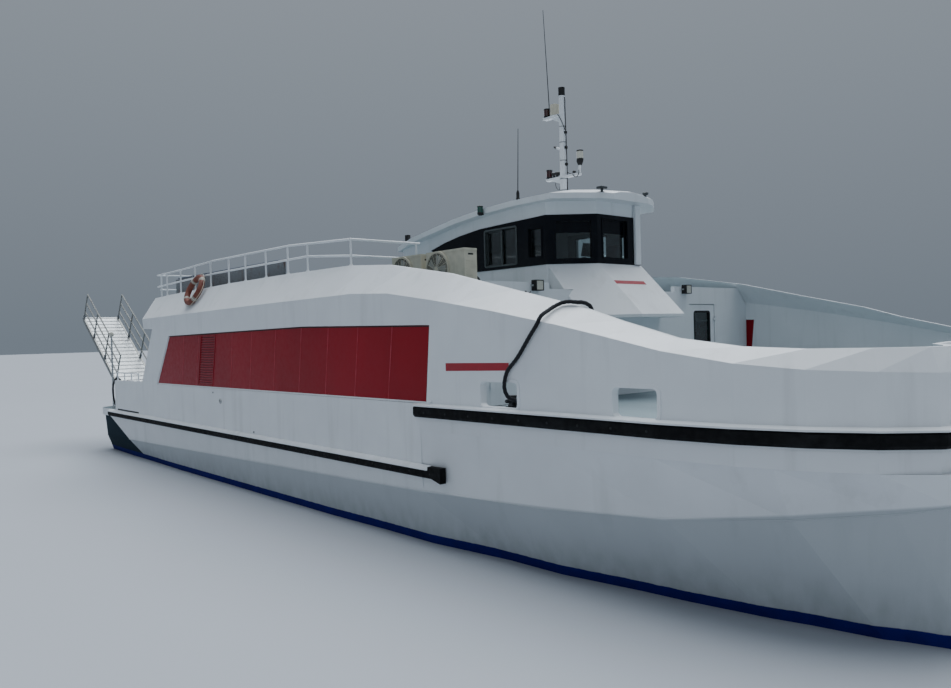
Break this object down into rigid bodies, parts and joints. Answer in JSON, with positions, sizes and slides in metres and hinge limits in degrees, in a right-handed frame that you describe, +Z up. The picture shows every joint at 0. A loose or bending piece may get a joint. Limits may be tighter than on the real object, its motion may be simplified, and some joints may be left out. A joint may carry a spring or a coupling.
{
  "type": "passenger ferry",
  "caption": "Passenger catamaran ferry with an enclosed saloon, open upper deck, wheelhouse, stern gangway and bow gate, afloat on its waterline.",
  "frame": {"origin": "on the waterline, on the centreline, amidships", "axes": "+X to the bow, +Y to port, +Z up"},
  "size_m": [25.1224, 9.12, 10.7802],
  "materials": {
    "hull_paint": "satin marine paint, blue below the waterline",
    "machinery": "painted engine grey",
    "deck_coating": "non-slip deck coating",
    "topside_paint": "satin white marine paint",
    "red_panel": "red film on flush panels",
    "band_glass": "near-black gloss",
    "window_glass": "tinted glass",
    "console": "matte",
    "antenna": "weathered grey glass fibre",
    "condenser_case": "cream powder coat",
    "seat": "moulded blue",
    "fender_rubber": "weathered",
    "bitt_steel": "worn black paint",
    "bronze": "marine bronze",
    "steel": "stainless",
    "gangway_metal": "weathered",
    "lifebuoy": "faded orange with pale bands",
    "rope": "black braided rope"
  },
  "bodies": {
    "ferry": {"hull_port": "hull_paint", "hull_starboard": "hull_paint", "wet_deck": "hull_paint", "engine_port": "machinery", "engine_starboard": "machinery", "main_deck": "deck_coating", "foredeck": "deck_coating", "upper_deck": "deck_coating", "wheelhouse_floor": "deck_coating", "side_shell_port": "topside_paint", "side_shell_starboard": "topside_paint", "bow_bulwark_port": "topside_paint", "bow_bulwark_starboard": "topside_paint", "aft_bulkhead": "topside_paint", "front_bulkhead": "topside_paint", "wheelhouse_shell": "topside_paint", "wheelhouse_roof": "topside_paint", "apron": "topside_paint", "mast": "topside_paint", "stair": "topside_paint", "upper_rail_port": "topside_paint", "upper_rail_starboard": "topside_paint", "upper_rail_aft": "topside_paint", "window_panel_port": "red_panel", "window_panel_starboard": "red_panel", "wheelhouse_window_band": "band_glass", "wheelhouse_glass": "window_glass", "helm_console": "console", "antenna_mast": "antenna", "antenna_roof": "antenna", "condenser_forward": "condenser_case", "condenser_aft": "condenser_case", "bench_port": "seat", "bench_starboard": "seat", "bench_centre": "seat", "fender_low_port": "fender_rubber", "fender_low_starboard": "fender_rubber", "fender_bow_port": "fender_rubber", "fender_bow_starboard": "fender_rubber", "bow_bitts_port": "bitt_steel", "bow_bitts_starboard": "bitt_steel", "stern_bitts_port": "bitt_steel", "stern_bitts_starboard": "bitt_steel", "shaft_bracket_port": "bronze", "shaft_bracket_starboard": "bronze", "gangway_hinge": "steel", "lifebuoy": "lifebuoy", "rope_bow": "rope", "rope_stern": "rope"},
    "propeller_port": {"propeller_port": "bronze"},
    "propeller_starboard": {"propeller_starboard": "bronze"},
    "rudder_port": {"rudder_port": "steel"},
    "rudder_starboard": {"rudder_starboard": "steel"},
    "gangway": {"stern_gangway": "gangway_metal"},
    "bow_gate": {"bow_gate": "topside_paint"},
    "aft_door": {"saloon_door_aft": "topside_paint"},
    "front_door_port": {"saloon_door_front_port": "topside_paint"},
    "front_door_starboard": {"saloon_door_front_starboard": "topside_paint"}
  },
  "joints": [
    {"name": "propeller_port_spin", "type": "hinge", "parent": "ferry", "child": "propeller_port", "pos_m": [-10.15, 3.2, -0.98], "axis": [1, 0, 0], "continuous": true},
    {"name": "rudder_port_turn", "type": "hinge", "parent": "ferry", "child": "rudder_port", "pos_m": [-10.72, 3.2, -1], "axis": [0, 0, 1], "range_deg": [-35, 35]},
    {"name": "propeller_starboard_spin", "type": "hinge", "parent": "ferry", "child": "propeller_starboard", "pos_m": [-10.15, -3.2, -0.98], "axis": [1, 0, 0], "continuous": true},
    {"name": "rudder_starboard_turn", "type": "hinge", "parent": "ferry", "child": "rudder_starboard", "pos_m": [-10.72, -3.2, -1], "axis": [0, 0, 1], "range_deg": [-35, 35]},
    {"name": "gangway_lift", "type": "hinge", "parent": "ferry", "child": "gangway", "pos_m": [-10.15, -3.61, 1.45], "axis": [0, 1, 0], "range_deg": [-29, 48]},
    {"name": "bow_gate_swing", "type": "hinge", "parent": "ferry", "child": "bow_gate", "pos_m": [10.4, 1.112, 2.4], "axis": [0, 0, 1], "range_deg": [0, 100]},
    {"name": "aft_door_slide", "type": "slide", "parent": "ferry", "child": "aft_door", "axis": [0, -1, 0], "range_m": [0, 1.05]},
    {"name": "front_door_port_swing", "type": "hinge", "parent": "ferry", "child": "front_door_port", "pos_m": [4.3, 3.142, 2.7], "axis": [0, 0, 1], "range_deg": [0, 100]},
    {"name": "front_door_starboard_swing", "type": "hinge", "parent": "ferry", "child": "front_door_starboard", "pos_m": [4.3, -3.142, 2.7], "axis": [0, 0, -1], "range_deg": [0, 100]}
  ]
}
